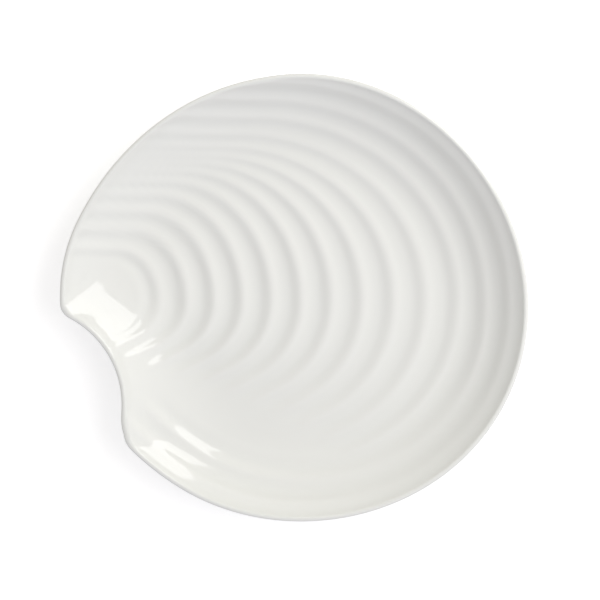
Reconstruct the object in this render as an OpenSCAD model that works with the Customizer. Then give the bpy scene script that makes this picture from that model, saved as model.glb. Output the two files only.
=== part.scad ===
// Shell plate: a pressed stoneware plate with a blunt tip beside a round bite in its rim,
// a coved wall all round, and growth ribs that spread from the tip across the face.
// Sizes are in millimetres and angles in degrees.

/* [Outline] */
// Radius of the round rim
rim_radius = 109.7; // [100:0.1:120]
// How far the hand-formed rim strays in and out of round, three times in a turn
rim_stray = 1.3; // [0:0.1:2]
// How far the rim swells towards the tip
tip_reach = 13.7; // [9:0.1:17]
// Radius of the bite beside the tip
bite_radius = 47.8; // [42:0.1:54]
// How deep the bite cuts into the round rim
bite_depth = 11.2; // [8:0.1:15]
// Direction of the bite, seen from the plate's centre
bite_angle = 200.5; // [198:0.1:204]
// Roundness of the corner between the bite and the tip
tip_blend = 4; // [2.5:0.1:6]
// Roundness of the corner at the far end of the bite
heel_blend = 9.6; // [6:0.1:12]

/* [Wall] */
// Width of the coved wall in plan, lip included
wall_run = 40; // [34:0.5:44]
// Steepness of the wall where it meets the lip
wall_angle = 52; // [44:1:58]
// Thickness of the fired plate with its glaze, at the floor
thickness = 4.5; // [4:0.1:5.5]
// Thickness at the rounded lip
lip = 2.8; // [2.2:0.1:3.6]

/* [Ribs] */
// Distance of the first rib from the plate's centre, towards the tip
rib_start = 71.5; // [66:0.1:76]
// Spacing from the first rib to the second
rib_pitch = 13.4; // [11:0.1:15]
// How much each spacing is wider than the one before
rib_growth = 0.3; // [0.15:0.05:0.6]
// Height of the first rib from trough to crest
first_height = 1.15; // [0.8:0.05:1.3]
// Height that the ribs grow to at the third
rib_height = 1.6; // [1.2:0.05:1.8]
// Height that they fall to at the far rim
last_height = 1.1; // [0.6:0.05:1.4]
// Length of the first rib's upper bend, from its front on the axis back to its top
first_bend = 21.5; // [18:0.1:25]
// Height of the first rib's top over the axis
first_top = 25.7; // [22:0.1:29]
// Radius of the first rib below the axis
first_round = 20; // [17:0.1:23]
// Angle that a rib turns through below the axis before it runs straight
arc_turn = 62; // [55:1:68]
// How much longer the last rib's upper bend is than the rim's radius
bend_gain = 6.7; // [3:0.1:10]
// How much higher its top is than the rim's radius
top_gain = 2.9; // [1:0.1:5]
// How much smaller its lower arc is than the rim's radius
round_loss = 12.7; // [10:0.1:14.5]

/* [Foot] */
// Height of the foot ring
foot_height = 3.5; // [2.5:0.1:5]
// Width of the foot ring where it is luted to the body
foot_width = 7.5; // [6:0.1:10]
// Share of the flat underside that the foot ring spans
foot_share = 0.92; // [0.8:0.01:0.94]

/* [Glaze] */
// Thickness of the glaze
glaze = 0.5; // [0.35:0.05:0.6]
// Bare strip left between the glaze and the foot ring
bare_strip = 1.5; // [1:0.1:2.5]

/* [Hidden] */

rays = 44;
rings = 47;
under_steps = 5;
foot_at = [8, 3];
face_z = foot_height + thickness - glaze;
cove = (wall_run - lip / 2) / sin(wall_angle) - lip / 2;
bite_at = (rim_radius + bite_radius - bite_depth) * [cos(bite_angle), sin(bite_angle)];
first_rib = -rib_start;
wall_start = rim_radius - wall_run;

function clamp(v) = max(0, min(1, v));
function ease(v) = let (t = clamp(v)) t * t * (3 - 2 * t);
function turn(p) = let (a = atan2(p.y, p.x)) a < 0 ? a + 360 : a;
function soft_min(a, b, k) = let (h = max(k - abs(a - b), 0) / k) min(a, b) - h * h * k / 4;

// Radius of the rim by direction: it swells slowly to the tip and falls away past it
function rim_at(a) =
    let (rise = pow(max(0, a - 98.5) / 81.5, 1.5), fall = pow(max(0, 235.8 - a) / 53.5, 2))
    rim_radius + rim_stray * cos(3 * (a + 24.8)) + tip_reach * max(0, soft_min(rise, fall, 1.23));

// Depth inside the outline: the rim, less the bite, with softened corners
function rim_depth(p) = rim_at(turn(p)) - norm(p);
function depth(p) =
    let (from_rim = rim_depth(p), from_bite = norm(p - bite_at) - bite_radius)
    let (blend = tip_blend + (heel_blend - tip_blend) * ease((turn(p) - bite_angle) / 16 + 0.5))
    soft_min(from_rim, from_bite, blend + 0.7 * max(0, min(from_rim, from_bite)));

// Point on a ray from the foot's centre at a given depth inside the outline
function reach(way, d, lo = 0, hi = 160, n = 24) =
    let (mid = (lo + hi) / 2)
    n == 0 ? foot_at + mid * way
    : depth(foot_at + mid * way) > d ? reach(way, d, mid, hi, n - 1)
    : reach(way, d, lo, mid, n - 1);

// Directions of the rays, closer together along the tip and the bite
ways = [for (i = [0:rays - 1])
    let (a = i < 31 ? -136 + i * 300 / 31 : 164 + (i - 31) * 60 / 13)
    [cos(a), sin(a)]];

// Ribs: each starts at a front on the axis. Above the axis it is a quarter of an ellipse that
// runs straight out to the near rim, and below the axis it is an arc that runs straight to the bite.
function rib_size(s, above) =
    let (v = (s - first_rib) / (rim_radius - first_rib))
    let (bend = first_bend + (rim_radius + bend_gain - first_bend) * v)
    let (top = first_top + (rim_radius + top_gain - first_top) * v + 6.9 * sin(360 * v))
    let (round = first_round + (rim_radius - round_loss - first_round) * v - 28 * v * (1 - v))
    above ? [max(3, bend), max(3, top)] : max(3, round) * [1, 1];
function rib_run(p, s, size) = -(p.x - s + size.x) * sin(arc_turn) - p.y * cos(arc_turn);
function rib_offset(p, s, size) =
    let (x = p.x - s + size.x)
    p.y > 0 ? [max(0, x), p.y]
    : [max(0, x * cos(arc_turn) - p.y * sin(arc_turn)), min(0, rib_run(p, s, size))];
function rib_level(p, s) =
    let (size = rib_size(s, p.y > 0), o = rib_offset(p, s, size))
    pow(o.x / size.x, 2) + pow(o.y / size.y, 2) - 1;
function rib_at(p, lo = -120, hi = 230, n = 22) =
    let (mid = (lo + hi) / 2)
    n == 0 ? mid
    : rib_level(p, mid) > 0 ? rib_at(p, mid, hi, n - 1)
    : rib_at(p, lo, mid, n - 1);

// Local spacing of the ribs, as a share of their spacing on the axis
function rib_spread(p, s) =
    let (size = rib_size(s, p.y > 0), o = rib_offset(p, s, size))
    let (slope = 2 * norm([o.x / pow(size.x, 2), o.y / pow(size.y, 2)]))
    clamp((rib_level(p, s - 0.5) - rib_level(p, s + 0.5)) / max(slope, 0.0001));

// Distance along the face: it runs ahead on the far wall, so that the ribs crowd as they climb
crowd = 0.45 / cove;
function along(s) = s + crowd * pow(max(0, s - wall_start), 2);
function across(l) =
    l < wall_start ? l : wall_start + (sqrt(1 + 4 * crowd * (l - wall_start)) - 1) / (2 * crowd);

// Count of ribs up to a distance along the face, and back
function count_at(l) =
    (sqrt(max(0, rib_pitch * rib_pitch + 2 * rib_growth * (l - first_rib))) - rib_pitch) / rib_growth;
function place_of(n) = first_rib + rib_pitch * n + rib_growth * n * n / 2;

// The smooth spot behind the first rib, kept clear of the tip
hub = [max(place_of(-1), 25 - rim_radius), 0];
hub_count = count_at(hub.x);

// Height of the ribs over the face: they flatten where they crowd, where they run straight to the
// bite, behind the tip and at the lip. On the lower wall they turn and follow the rim, and they are
// fainter at its right.
function rib_wave(s) =
    let (count = count_at(along(s)))
    let (share = clamp((s - first_rib) / (rim_radius - first_rib)))
    let (grown = first_height + (rib_height - first_height) * ease(count / 2))
    let (tall = grown + (last_height - rib_height) * share)
    let (wave = cos(360 * count) / 2 + cos(720 * count) / 20 - sin(720 * count) / 30)
    tall * ease((count + 1) / 0.7) * wave;
function wall_share(p) = p.y > 0 ? 0 : ease((0.85 * wall_run - rim_depth(p)) / (0.35 * wall_run));
function rim_share(p) = wall_share(p) * ease((turn(p) - bite_angle - 8) / 10);
function calm(p) = 0.45 * wall_share(p) * ease((turn(p) - 270) / 20) * ease((345 - turn(p)) / 25);
function rib_rise(p) =
    let (s = rib_at(p), spread = rib_spread(p, s))
    let (run = p.y > 0 ? 0 : rib_run(p, s, rib_size(s, false)))
    let (crossing = pow(spread, 0.8) * ease((spread - 0.1) / 0.3) * ease((24 - run) / 20) * rib_wave(s))
    let (following = rib_wave(rim_at(0) - rim_depth(p)))
    ease(depth(p) / 5) * (1 - calm(p)) * (crossing + rim_share(p) * (following - crossing));

// Height of the face, sunk by the given inset below the glazed surface
function face(p, inset) =
    let (r = cove + inset)
    let (e = min(r * sin(wall_angle), max(0, wall_run - depth(p))))
    face_z - inset + r - sqrt(r * r - e * e) + rib_rise(p);

// Rings over the face from the hub to the lip, spaced by the count of ribs where the rays cross
// them. The lower rays bend clear of the bite.
function lip_ring(inset) = [for (w = ways) reach(w, wall_run - (cove + inset) * sin(wall_angle))];
function path(q, f) = hub + (q - hub) * f + [0.15 * f * (1 - f) * max(0, hub.y - q.y), 0];
function meet(q, s, lo = 0, hi = 1, n = 16) =
    let (mid = (lo + hi) / 2)
    n == 0 ? mid
    : rib_level(path(q, mid), s) > 0 ? meet(q, s, lo, mid, n - 1)
    : meet(q, s, mid, hi, n - 1);
function station(q, share) =
    let (way = (q - hub) / norm(q - hub), upper = way.y > 0)
    let (count = hub_count + (count_at(along(rib_at(q))) - hub_count) * share)
    let (back = cos(upper ? 150 : 130), fore = cos(upper ? 110 : 100))
    let (late = upper ? 0.02 + 0.25 * clamp(0.5 - way.x) : 0.01)
    let (mix = ease((way.x - back) / (fore - back)) * ease(share / late))
    (1 - mix) * share + mix * meet(q, across(place_of(count)));
function face_rings(inset) =
    let (edge = lip_ring(inset))
    [for (k = [1:rings]) [for (q = edge)
        let (p = path(q, k == rings ? 1 : station(q, k / rings)))
        [p.x, p.y, face(p, inset)]]];

// Rings over the rounded lip and down the underside to the flat of the base
function section_ring(e, z) = [for (w = ways) let (p = reach(w, wall_run - e)) [p.x, p.y, z]];
function lip_rings(inset) =
    let (r = lip / 2 - inset, e = wall_run - lip / 2)
    let (z = face_z + cove - (cove + lip / 2) * cos(wall_angle))
    [for (b = [45, 90, 135])
        section_ring(e + r * cos(90 + wall_angle - b), z + r * sin(90 + wall_angle - b))];
function under_rings(inset) =
    [for (i = [0:under_steps])
        let (a = wall_angle * (1 - i / under_steps))
        let (r = cove + lip + (thickness - lip) * i / under_steps - inset)
        section_ring(r * sin(a), face_z + cove - r * cos(a))];
function base_ring(z) =
    [for (w = ways) let (p = foot_at + (foot_outer + bare_strip) * w) [p.x, p.y, z]];

flat_reach = min([for (w = ways) norm(reach(w, wall_run) - foot_at)]);
foot_outer = flat_reach * foot_share;
foot_inner = foot_outer - foot_width;

// The plate is centred on the middle of its outline
outline = [for (w = ways) reach(w, 0)];
function middle(v) = (min(v) + max(v)) / 2;
centre = [middle([for (p = outline) p.x]), middle([for (p = outline) p.y]), 0];

function reversed(v) = [for (i = [len(v) - 1:-1:0]) v[i]];

// A closed skin over a stack of rings, with one point at each end and each face split the short way
module skin(first, stack, last) {
    n = rays;
    m = len(stack);
    points = concat([first], [for (ring = stack) each ring], [last]);
    end = len(points) - 1;
    faces = concat(
        [for (j = [0:n - 1]) [0, 1 + (j + 1) % n, 1 + j]],
        [for (k = [0:m - 2], j = [0:n - 1])
            let (a = 1 + k * n + j, b = 1 + k * n + (j + 1) % n)
            let (short = norm(points[a] - points[b + n]) < norm(points[b] - points[a + n]))
            each (short ? [[a, b, b + n], [a, b + n, a + n]] : [[a, b, a + n], [b, b + n, a + n]])],
        [for (j = [0:n - 1]) [end, 1 + (m - 1) * n + j, 1 + (m - 1) * n + (j + 1) % n]]);
    polyhedron(points, faces);
}

function hub_point(inset) = [hub.x, hub.y, face(hub, inset)];
function coat_rings(inset) = concat(face_rings(inset), lip_rings(inset), under_rings(inset));

// The pressed clay, ribbed on its face and flat under its base
module clay_body() {
    color("#d9d2c4")
    translate(-centre)
    skin(hub_point(glaze), coat_rings(glaze), [foot_at.x, foot_at.y, foot_height]);
}

// The plain ring that the plate stands on, luted to the flat of the base
module foot_ring() {
    ease_off = 0.8;
    lean = 1;
    color("#cfc6b4")
    translate([foot_at.x, foot_at.y, 0] - centre)
    rotate_extrude($fn = 180)
    polygon([
        [foot_inner + lean + ease_off, 0], [foot_outer - lean - ease_off, 0],
        [foot_outer - lean, ease_off], [foot_outer, foot_height],
        [foot_inner, foot_height], [foot_inner + lean, ease_off]]);
}

// The glaze over the face, the lip and the back, up to the bare strip round the foot
module glaze_coat() {
    color("#f1f0ea")
    translate(-centre)
    skin(hub_point(0),
        concat(coat_rings(0), [base_ring(foot_height - glaze), base_ring(foot_height)],
            reversed(coat_rings(glaze))),
        hub_point(glaze));
}

// The patch of glaze inside the foot ring
module foot_glaze() {
    color("#f1f0ea")
    translate([foot_at.x, foot_at.y, foot_height - glaze] - centre)
    cylinder(r = foot_inner - bare_strip, h = glaze, $fn = 180);
}

clay_body();
foot_ring();
glaze_coat();
foot_glaze();
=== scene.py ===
import math
import bmesh
import bpy
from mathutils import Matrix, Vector


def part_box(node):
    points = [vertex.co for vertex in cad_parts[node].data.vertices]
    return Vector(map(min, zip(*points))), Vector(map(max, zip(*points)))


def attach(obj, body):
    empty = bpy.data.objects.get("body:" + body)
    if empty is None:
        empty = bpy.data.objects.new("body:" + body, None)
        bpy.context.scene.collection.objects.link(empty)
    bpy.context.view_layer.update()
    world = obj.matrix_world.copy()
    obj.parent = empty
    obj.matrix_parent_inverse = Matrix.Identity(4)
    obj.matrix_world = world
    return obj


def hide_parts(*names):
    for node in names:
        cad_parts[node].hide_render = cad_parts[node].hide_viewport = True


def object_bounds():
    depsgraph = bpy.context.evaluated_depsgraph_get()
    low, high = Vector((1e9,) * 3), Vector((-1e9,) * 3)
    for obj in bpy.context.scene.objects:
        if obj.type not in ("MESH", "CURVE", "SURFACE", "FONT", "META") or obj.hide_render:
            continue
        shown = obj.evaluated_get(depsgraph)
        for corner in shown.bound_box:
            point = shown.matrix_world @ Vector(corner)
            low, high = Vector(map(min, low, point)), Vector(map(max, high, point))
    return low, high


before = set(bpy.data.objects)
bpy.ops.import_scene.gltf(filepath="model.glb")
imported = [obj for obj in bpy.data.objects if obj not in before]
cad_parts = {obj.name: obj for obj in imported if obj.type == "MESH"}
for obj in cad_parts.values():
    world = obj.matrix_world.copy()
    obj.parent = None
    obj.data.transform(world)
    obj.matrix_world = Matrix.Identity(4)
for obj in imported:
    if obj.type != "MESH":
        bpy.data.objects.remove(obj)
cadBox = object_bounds()
scene = bpy.context.scene
scene.view_settings.view_transform = "Standard"
print("frame loaded:", sorted(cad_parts))

# the plate's own sizes, in millimetres and degrees, seen from the centre of its round rim
plate = {
    "rimRadius": 109.7, "rimStray": 1.3, "strayTurn": 24.8,
    "tipReach": 13.7, "tipRound": 1.23,
    "swellFrom": 98.5, "swellOver": 81.5, "fallTo": 235.8, "fallOver": 53.5,
    "biteRadius": 47.8, "biteDepth": 11.2, "biteAngle": 200.5,
    "tipBlend": 4, "heelBlend": 9.6, "heelOver": 16, "blendGrowth": 0.7,
    "wallRun": 40, "wallAngle": 52, "thickness": 4.5, "lip": 2.8,
    "ribStart": 71.5, "ribPitch": 13.4, "ribGrowth": 0.3, "ribCrowd": 0.45,
    "firstHeight": 1.15, "ribHeight": 1.6, "lastHeight": 1.1,
    "firstBend": 21.5, "firstTop": 25.7, "firstRound": 20, "arcTurn": math.radians(62),
    "bendGain": 6.7, "topGain": 2.9, "topSway": 6.9, "roundLoss": 12.7, "roundDip": 28, "leastRib": 3,
    "footAt": Vector((8, 3)), "footWidth": 7.5, "glaze": 0.5, "bareStrip": 1.5,
}

# what the frame says: where the foot stands, its height and its reach
footLow, footHigh = (corner * 1000 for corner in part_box("foot_ring"))
footMid = Vector(((footLow.x + footHigh.x) / 2, (footLow.y + footHigh.y) / 2))
footOuter = (footHigh.x - footLow.x) / 2
footHeight = footHigh.z
shift = footMid - plate["footAt"]

faceZ = footHeight + plate["thickness"] - plate["glaze"]
wallSine = math.sin(math.radians(plate["wallAngle"]))
cove = (plate["wallRun"] - plate["lip"] / 2) / wallSine - plate["lip"] / 2
biteTurn = math.radians(plate["biteAngle"])
biteFar = plate["rimRadius"] + plate["biteRadius"] - plate["biteDepth"]
biteAt = Vector((biteFar * math.cos(biteTurn), biteFar * math.sin(biteTurn)))
wallStart = plate["rimRadius"] - plate["wallRun"]
firstRib = -plate["ribStart"]


def clamp(v):
    return max(0.0, min(1.0, v))


def ease(v):
    t = clamp(v)
    return t * t * (3 - 2 * t)


def easePast(v, step):
    return ease((v - step[0]) / step[1])


def easeUpTo(v, step):
    return ease((step[0] - v) / step[1])


def softMin(a, b, k):
    h = max(k - abs(a - b), 0) / k
    return min(a, b) - h * h * k / 4


# the rim swells slowly to the tip and falls away past it
def rimAt(turn):
    rise = (max(0, turn - plate["swellFrom"]) / plate["swellOver"]) ** 1.5
    fall = (max(0, plate["fallTo"] - turn) / plate["fallOver"]) ** 2
    swell = plate["tipReach"] * max(0, softMin(rise, fall, plate["tipRound"]))
    stray = plate["rimStray"] * math.cos(math.radians(3 * (turn + plate["strayTurn"])))
    return plate["rimRadius"] + stray + swell


# depth inside the outline: the rim less the bite, with softened corners
def depthAt(p):
    turn = math.degrees(math.atan2(p.y, p.x)) % 360
    fromRim = rimAt(turn) - p.length
    fromBite = (p - biteAt).length - plate["biteRadius"]
    heel = ease((turn - plate["biteAngle"]) / plate["heelOver"] + 0.5)
    blend = plate["tipBlend"] + (plate["heelBlend"] - plate["tipBlend"]) * heel
    return softMin(fromRim, fromBite, blend + plate["blendGrowth"] * max(0, min(fromRim, fromBite)))


# point on a ray from the foot's centre at a given depth inside the outline
def reach(way, depth):
    low, high = 0.0, 160.0
    for step in range(24):
        mid = (low + high) / 2
        if depthAt(plate["footAt"] + way * mid) > depth:
            low = mid
        else:
            high = mid
    return plate["footAt"] + way * low


# each rib starts at a front on the axis: above it is a quarter of an ellipse that runs straight
# out to the near rim, and below it is an arc that runs straight to the bite
def ribSize(s, above):
    v = (s - firstRib) / (plate["rimRadius"] - firstRib)
    if above:
        bend = plate["firstBend"] + (plate["rimRadius"] + plate["bendGain"] - plate["firstBend"]) * v
        top = plate["firstTop"] + (plate["rimRadius"] + plate["topGain"] - plate["firstTop"]) * v
        top += plate["topSway"] * math.sin(v * math.tau)
        return max(plate["leastRib"], bend), max(plate["leastRib"], top)
    arc = plate["firstRound"] + (plate["rimRadius"] - plate["roundLoss"] - plate["firstRound"]) * v
    arc = max(plate["leastRib"], arc - plate["roundDip"] * v * (1 - v))
    return arc, arc


def ribRun(p, s, bend):
    return -(p.x - s + bend) * math.sin(plate["arcTurn"]) - p.y * math.cos(plate["arcTurn"])


def ribOffset(p, s, bend):
    x = p.x - s + bend
    if p.y > 0:
        return max(0, x), p.y
    out = x * math.cos(plate["arcTurn"]) - p.y * math.sin(plate["arcTurn"])
    return max(0, out), min(0, ribRun(p, s, bend))


def ribLevel(p, s):
    bend, top = ribSize(s, p.y > 0)
    x, y = ribOffset(p, s, bend)
    return (x / bend) ** 2 + (y / top) ** 2 - 1


def ribAt(p):
    low, high = -120.0, 230.0
    for step in range(22):
        mid = (low + high) / 2
        if ribLevel(p, mid) > 0:
            low = mid
        else:
            high = mid
    return (low + high) / 2


# local spacing of the ribs, as a share of their spacing on the axis
def ribSpread(p, s):
    bend, top = ribSize(s, p.y > 0)
    x, y = ribOffset(p, s, bend)
    slope = 2 * math.hypot(x / bend ** 2, y / top ** 2)
    return clamp((ribLevel(p, s - 0.5) - ribLevel(p, s + 0.5)) / max(slope, 0.0001))


# count of ribs up to a place on the axis: they spread over the floor and crowd up the far wall
def ribCount(s):
    along = s + plate["ribCrowd"] / cove * max(0, s - wallStart) ** 2 - firstRib
    pitch, growth = plate["ribPitch"], plate["ribGrowth"]
    return (math.sqrt(max(0, pitch * pitch + 2 * growth * along)) - pitch) / growth


# where the ribs fade, each as a start and a length: in rib counts behind the tip, in shares of their
# spacing, in millimetres along a straight run, in shares of the wall and in degrees round the plate
fade = {
    "tip": 0.7, "grown": 2, "power": 0.8, "spread": (0.1, 0.3), "run": (24, 20), "lip": 5,
    "wall": (0.85, 0.35), "bite": (8, 10),
    "right": 0.45, "rightFrom": (270, 20), "rightTo": (345, 25),
}


# height of the ribs: they are tallest at the third, flatten where they crowd, where they run
# straight to the bite, behind the tip and at the lip, and on the lower wall they follow the rim
def ribWave(s):
    count = ribCount(s)
    a = count * math.tau
    v = clamp((s - firstRib) / (plate["rimRadius"] - firstRib))
    tall = plate["firstHeight"]
    tall += (plate["ribHeight"] - plate["firstHeight"]) * ease(count / fade["grown"])
    tall += (plate["lastHeight"] - plate["ribHeight"]) * v
    wave = math.cos(a) / 2 + math.cos(2 * a) / 20 - math.sin(2 * a) / 30
    return tall * ease((count + 1) / fade["tip"]) * wave


def ribRise(p):
    s = ribAt(p)
    depth = depthAt(p)
    spread = ribSpread(p, s)
    rise = spread ** fade["power"] * easePast(spread, fade["spread"]) * ribWave(s)
    if p.y <= 0:
        rise *= easeUpTo(ribRun(p, s, ribSize(s, False)[0]), fade["run"])
        turn = math.degrees(math.atan2(p.y, p.x)) % 360
        fromRim = rimAt(turn) - p.length
        wall = easeUpTo(fromRim / plate["wallRun"], fade["wall"])
        share = wall * easePast(turn - plate["biteAngle"], fade["bite"])
        rise += share * (ribWave(rimAt(0) - fromRim) - rise)
        right = easePast(turn, fade["rightFrom"]) * easeUpTo(turn, fade["rightTo"])
        rise *= 1 - fade["right"] * wall * right
    return ease(depth / fade["lip"]) * rise


def faceHeight(p, inset):
    r = cove + inset
    e = min(r * wallSine, max(0, plate["wallRun"] - depthAt(p)))
    return faceZ - inset + r - math.sqrt(r * r - e * e) + ribRise(p)


# rays from the foot's centre, closer together over the degrees that hold the tip and the bite
fan = {"start": -136, "plain": 300, "close": 60, "closeShare": 0.3}


def rayWays(count):
    fine = round(count * fan["closeShare"])
    coarse = count - fine
    turns = [fan["start"] + i * fan["plain"] / coarse for i in range(coarse)]
    turns += [fan["start"] + fan["plain"] + i * fan["close"] / fine for i in range(fine)]
    return [Vector((math.cos(math.radians(a)), math.sin(math.radians(a)))) for a in turns]


# rows of points over the plate: the face, the lip and the back, each at an inset below the glaze
def faceRows(ways, inset, count):
    edge = [reach(w, plate["wallRun"] - (cove + inset) * wallSine) for w in ways]
    rows = []
    for k in range(count + 1):
        row = []
        for q in edge:
            p = plate["footAt"].lerp(q, k / count)
            row.append(Vector((p.x, p.y, faceHeight(p, inset))))
        rows.append(row)
    return rows


def sectionRow(ways, e, z):
    return [reach(w, plate["wallRun"] - e).to_3d() + Vector((0, 0, z)) for w in ways]


def lipRows(ways, inset, count):
    r = plate["lip"] / 2 - inset
    e = plate["wallRun"] - plate["lip"] / 2
    z = faceZ + cove - (cove + plate["lip"] / 2) * math.cos(math.radians(plate["wallAngle"]))
    rows = []
    for k in range(1, count):
        a = math.radians(90 + plate["wallAngle"] - 180 * k / count)
        rows.append(sectionRow(ways, e + r * math.cos(a), z + r * math.sin(a)))
    return rows


def backRows(ways, inset, count):
    rows = []
    for k in range(count + 1):
        a = math.radians(plate["wallAngle"] * (1 - k / count))
        r = cove + plate["lip"] + (plate["thickness"] - plate["lip"]) * k / count - inset
        rows.append(sectionRow(ways, r * math.sin(a), faceZ + cove - r * math.cos(a)))
    return rows


def baseRow(ways, radius, z):
    return [(plate["footAt"] + w * radius).to_3d() + Vector((0, 0, z)) for w in ways]


def addPiece(name, bm, node):
    for f in bm.faces:
        f.smooth = True
    mesh = bpy.data.meshes.new(name)
    bm.to_mesh(mesh)
    bm.free()
    piece = bpy.data.objects.new(name, mesh)
    scene.collection.objects.link(piece)
    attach(piece, "root")
    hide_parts(node)
    print(name, "has", len(mesh.polygons), "faces")
    return piece


# a grid wrapped round the plate, one column for each ray and one line for each row
def wrapRows(rows):
    rays = len(rows[0])
    bm = bmesh.new()
    bmesh.ops.create_grid(bm, x_segments=rays, y_segments=len(rows) - 1, size=1)
    crest = bm.verts.layers.float.new("crest")
    for v in bm.verts:
        column = round((v.co.x + 1) / 2 * rays) % rays
        line = round((v.co.y + 1) / 2 * (len(rows) - 1))
        p = rows[line][column]
        v[crest] = 0.5 + ribRise(p.to_2d()) / plate["ribHeight"] * 0.5
        v.co = Vector((p.x + shift.x, p.y + shift.y, p.z)) / 1000
    bmesh.ops.remove_doubles(bm, verts=bm.verts, dist=1e-6)
    bmesh.ops.recalc_face_normals(bm, faces=bm.faces)
    return bm


# glaze over the face, the lip and the back, with a rounded edge at the bare strip
glazeCoat = {
    "rays": 300, "face": 160, "lip": 12, "back": 22, "edge": 4,
    "inFace": 24, "inLip": 6, "inBack": 10, "clear": 0.02}
thin = plate["glaze"]
ways = rayWays(glazeCoat["rays"])
stripEdge = footOuter + plate["bareStrip"]
rows = faceRows(ways, 0, glazeCoat["face"])
rows += lipRows(ways, 0, glazeCoat["lip"]) + backRows(ways, 0, glazeCoat["back"])
for k in range(glazeCoat["edge"] + 1):
    a = math.radians(90 * k / glazeCoat["edge"])
    rows.append(baseRow(ways, stripEdge + thin * (1 - math.sin(a)), footHeight - thin * math.cos(a)))
under = thin - glazeCoat["clear"]
inside = faceRows(ways, under, glazeCoat["inFace"])
inside += lipRows(ways, under, glazeCoat["inLip"]) + backRows(ways, under, glazeCoat["inBack"])
coatPiece = addPiece("glazeCoat", wrapRows(rows + inside[::-1]), "glaze_coat")

# the clay under it, bare only beside the foot
clayCore = {"rays": 220, "face": 80, "lip": 6, "back": 12}
ways = rayWays(clayCore["rays"])
rows = faceRows(ways, thin, clayCore["face"])
rows += lipRows(ways, thin, clayCore["lip"]) + backRows(ways, thin, clayCore["back"])
rows += [baseRow(ways, footOuter, footHeight), baseRow(ways, 0, footHeight)]
clayPiece = addPiece("clayBody", wrapRows(rows), "clay_body")

# foot ring: a bare section with worn edges, spun round the foot's centre
footRing = {"lean": 1.0, "worn": 0.9, "rounds": 5, "steps": 180}
footInner = footOuter - plate["footWidth"]
bm = bmesh.new()
section = [
    (footInner, footHeight), (footInner + footRing["lean"], 0),
    (footOuter - footRing["lean"], 0), (footOuter, footHeight)]
corners = [bm.verts.new((x / 1000, 0, z / 1000)) for x, z in section]
bm.faces.new(corners)
bmesh.ops.bevel(
    bm, geom=corners[1:3], offset=footRing["worn"] / 1000, segments=footRing["rounds"], profile=0.5,
    affect="VERTICES", material=-1)
bmesh.ops.delete(bm, geom=bm.faces[:], context="FACES_ONLY")
bmesh.ops.spin(
    bm, geom=bm.verts[:] + bm.edges[:], cent=(0, 0, 0), axis=(0, 0, 1), angle=math.tau,
    steps=footRing["steps"], use_merge=True)
bmesh.ops.recalc_face_normals(bm, faces=bm.faces)
bmesh.ops.translate(bm, verts=bm.verts, vec=(footMid.x / 1000, footMid.y / 1000, 0))
ringPiece = addPiece("footRing", bm, "foot_ring")

# patch of glaze inside the foot, rounded at its edge
footPatch = {"steps": 160, "rounds": 4, "soft": 0.9}
patchRadius = footInner - plate["bareStrip"]
bm = bmesh.new()
bmesh.ops.create_circle(bm, cap_ends=True, radius=patchRadius / 1000, segments=footPatch["steps"])
bmesh.ops.translate(bm, verts=bm.verts, vec=(footMid.x / 1000, footMid.y / 1000, footHeight / 1000))
grown = bmesh.ops.extrude_face_region(bm, geom=bm.faces[:])
lower = [v for v in grown["geom"] if isinstance(v, bmesh.types.BMVert)]
bmesh.ops.translate(bm, verts=lower, vec=(0, 0, -thin / 1000))
bmesh.ops.recalc_face_normals(bm, faces=bm.faces)
edge = [e for e in bm.edges if all(v in lower for v in e.verts)]
bmesh.ops.bevel(
    bm, geom=edge, offset=thin * footPatch["soft"] / 1000, segments=footPatch["rounds"], profile=0.5,
    affect="EDGES", material=-1)
patchPiece = addPiece("footGlaze", bm, "foot_glaze")


# one output socket of a material, with sums that add Math nodes
class Wire:
    def __init__(self, tree, socket=None):
        self.tree = tree
        self.socket = socket

    def add(self, kind, settings, inputs, out=0):
        node = self.tree.nodes.new(kind)
        for key, value in settings.items():
            setattr(node, key, value)
        for key, value in inputs.items():
            if isinstance(value, Wire):
                self.tree.links.new(value.socket, node.inputs[key])
            else:
                node.inputs[key].default_value = value
        return Wire(self.tree, node.outputs[out] if len(node.outputs) else None)

    def sum(self, operation, a, b):
        return self.add("ShaderNodeMath", {"operation": operation}, {0: a, 1: b})

    def __add__(self, other):
        return self.sum("ADD", self, other)

    def __mul__(self, other):
        return self.sum("MULTIPLY", self, other)

    def __sub__(self, other):
        return self.sum("SUBTRACT", self, other)

    def __rsub__(self, other):
        return self.sum("SUBTRACT", other, self)

    __radd__ = __add__
    __rmul__ = __mul__


def newMaterial(name):
    material = bpy.data.materials.new(name)
    material.use_nodes = True
    material.node_tree.nodes.clear()
    return material, Wire(material.node_tree)


# glossy white glaze, coloured a little darker in the troughs and lighter on the crests
glazeLook = {
    "troughTone": (0.795, 0.805, 0.772, 1), "crest": (0.845, 0.845, 0.815, 1),
    "cloudScale": 26, "cloudShare": 0.3, "peelScale": 420, "peelDepth": 0.00004,
    "gloss": 0.05, "glossVary": 0.04, "ior": 1.62}


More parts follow.
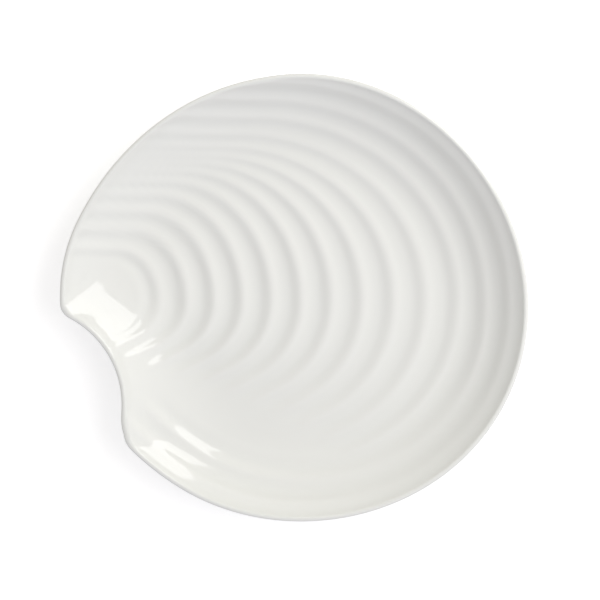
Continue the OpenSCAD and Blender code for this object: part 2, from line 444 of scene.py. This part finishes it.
def makeGlaze():
    material, w = newMaterial("whiteGlaze")
    place = w.add("ShaderNodeTexCoord", {}, {}, "Object")
    crest = w.add("ShaderNodeAttribute", {"attribute_name": "crest"}, {}, "Fac")
    cloud = w.add("ShaderNodeTexNoise", {},
        {"Vector": place, "Scale": glazeLook["cloudScale"], "Detail": 3})
    peel = w.add("ShaderNodeTexNoise", {},
        {"Vector": place, "Scale": glazeLook["peelScale"], "Detail": 1})
    mask = crest * (1 - glazeLook["cloudShare"]) + cloud * glazeLook["cloudShare"]
    colour = w.add("ShaderNodeMix", {"data_type": "RGBA"},
        {"Factor": mask, "A": glazeLook["troughTone"], "B": glazeLook["crest"]}, 2)
    bump = w.add("ShaderNodeBump", {},
        {"Strength": 0.15, "Distance": glazeLook["peelDepth"], "Height": peel})
    rough = glazeLook["gloss"] + cloud * glazeLook["glossVary"]
    shader = w.add("ShaderNodeBsdfPrincipled", {}, {
        "Base Color": colour, "Roughness": rough, "IOR": glazeLook["ior"], "Normal": bump})
    w.add("ShaderNodeOutputMaterial", {}, {"Surface": shader})
    return material


# bare fired clay: buff, matt and finely speckled
clayLook = {
    "pale": (0.62, 0.56, 0.47, 1), "buff": (0.50, 0.43, 0.34, 1), "cloudScale": 60,
    "grainScale": 900, "grainShare": 0.4, "grainDepth": 0.0002, "rough": 0.78, "roughVary": 0.15}


def makeClay():
    material, w = newMaterial("bareClay")
    place = w.add("ShaderNodeTexCoord", {}, {}, "Object")
    cloud = w.add("ShaderNodeTexNoise", {},
        {"Vector": place, "Scale": clayLook["cloudScale"], "Detail": 4})
    grain = w.add("ShaderNodeTexNoise", {},
        {"Vector": place, "Scale": clayLook["grainScale"], "Detail": 2})
    mask = cloud * (1 - clayLook["grainShare"]) + grain * clayLook["grainShare"]
    colour = w.add("ShaderNodeMix", {"data_type": "RGBA"},
        {"Factor": mask, "A": clayLook["buff"], "B": clayLook["pale"]}, 2)
    bump = w.add("ShaderNodeBump", {},
        {"Strength": 0.5, "Distance": clayLook["grainDepth"], "Height": grain})
    rough = clayLook["rough"] + grain * clayLook["roughVary"]
    shader = w.add("ShaderNodeBsdfPrincipled", {},
        {"Base Color": colour, "Roughness": rough, "Normal": bump})
    w.add("ShaderNodeOutputMaterial", {}, {"Surface": shader})
    return material


whiteGlaze = makeGlaze()
bareClay = makeClay()
for piece in (coatPiece, patchPiece):
    piece.data.materials.append(whiteGlaze)
for piece in (clayPiece, ringPiece):
    piece.data.materials.append(bareClay)
print("materials set")

# pale floor that shows white to the camera and keeps the shadow
floorLook = {"size": 6.0, "colour": (0.9, 0.9, 0.9, 1), "lift": 0.42}


def makeFloor():
    bm = bmesh.new()
    bmesh.ops.create_grid(bm, x_segments=2, y_segments=2, size=floorLook["size"] / 2)
    mesh = bpy.data.meshes.new("floor")
    bm.to_mesh(mesh)
    bm.free()
    floor = bpy.data.objects.new("floor", mesh)
    scene.collection.objects.link(floor)
    floor.location.z = cadBox[0].z
    material, w = newMaterial("paleFloor")
    seen = w.add("ShaderNodeLightPath", {}, {}, "Is Camera Ray")
    matt = w.add("ShaderNodeBsdfDiffuse", {}, {"Color": floorLook["colour"]})
    lift = w.add("ShaderNodeEmission", {},
        {"Color": (1, 1, 1, 1), "Strength": seen * floorLook["lift"]})
    both = w.add("ShaderNodeAddShader", {}, {0: matt, 1: lift})
    w.add("ShaderNodeOutputMaterial", {}, {"Surface": both})
    mesh.materials.append(material)


makeFloor()

# soft studio light: a pale room that is a little cooler towards the front, a tall softbox at the
# upper right that the glaze mirrors and a broad scrim at the right
studio = {
    "room": 0.61, "front": (0.99, 0.985, 1.1, 1), "back": (1.01, 0.98, 0.87, 1),
    "tall": {
        "turn": 45.5, "rise": 27.6, "away": 1.0,
        "size": (0.45, 0.94), "watts": 2.95, "mirrored": True},
    "broad": {
        "turn": 0, "rise": 50, "away": 1.3,
        "size": (1.0, 1.0), "watts": 5.42, "mirrored": False},
}


def makeRoom():
    world = bpy.data.worlds.new("whiteRoom")
    scene.world = world
    world.use_nodes = True
    world.node_tree.nodes.clear()
    w = Wire(world.node_tree)
    path = world.node_tree.nodes.new("ShaderNodeLightPath")
    seen = Wire(world.node_tree, path.outputs["Is Camera Ray"])
    shiny = Wire(world.node_tree, path.outputs["Is Glossy Ray"])
    through = Wire(world.node_tree, path.outputs["Is Transmission Ray"])
    plain = w.sum("MINIMUM", seen + shiny + through, 1.0)
    strength = studio["room"] + plain * (1 - studio["room"])
    way = w.add("ShaderNodeTexCoord", {}, {}, "Generated")
    north = w.add("ShaderNodeSeparateXYZ", {}, {0: way}, "Y")
    tint = w.add("ShaderNodeMix", {"data_type": "RGBA"},
        {"Factor": north * 0.5 + 0.5, "A": studio["front"], "B": studio["back"]}, 2)
    colour = w.add("ShaderNodeMix", {"data_type": "RGBA"},
        {"Factor": plain, "A": tint, "B": (1, 1, 1, 1)}, 2)
    sky = w.add("ShaderNodeBackground", {}, {"Color": colour, "Strength": strength})
    w.add("ShaderNodeOutputWorld", {}, {"Surface": sky})


def makeLamp(name):
    spec = studio[name]
    lamp = bpy.data.lights.new(name + "Light", "AREA")
    lamp.shape = "RECTANGLE"
    lamp.size, lamp.size_y = spec["size"]
    lamp.energy = spec["watts"]
    holder = bpy.data.objects.new(name + "Light", lamp)
    turn, rise = math.radians(spec["turn"]), math.radians(spec["rise"])
    way = Vector((math.cos(rise) * math.cos(turn), math.cos(rise) * math.sin(turn), math.sin(rise)))
    holder.location = way * spec["away"]
    holder.rotation_euler = way.to_track_quat("Z", "Y").to_euler()
    holder.visible_glossy = spec["mirrored"]
    scene.collection.objects.link(holder)


makeRoom()
makeLamp("tall")
makeLamp("broad")

# the camera looks straight down with a long lens, and 600 pixels span the width at the rim
eye = {"lens": 135, "sensor": 36, "across": 0.2936, "at": (0.0029, -0.0012)}
lens = bpy.data.cameras.new("camera")
lens.lens = eye["lens"]
lens.sensor_width = eye["sensor"]
lens.dof.use_dof = False
camera = bpy.data.objects.new("camera", lens)
away = eye["across"] * eye["lens"] / eye["sensor"]
camera.location = (eye["at"][0], eye["at"][1], cadBox[1].z + away)
scene.collection.objects.link(camera)
scene.camera = camera
print("camera and light set")
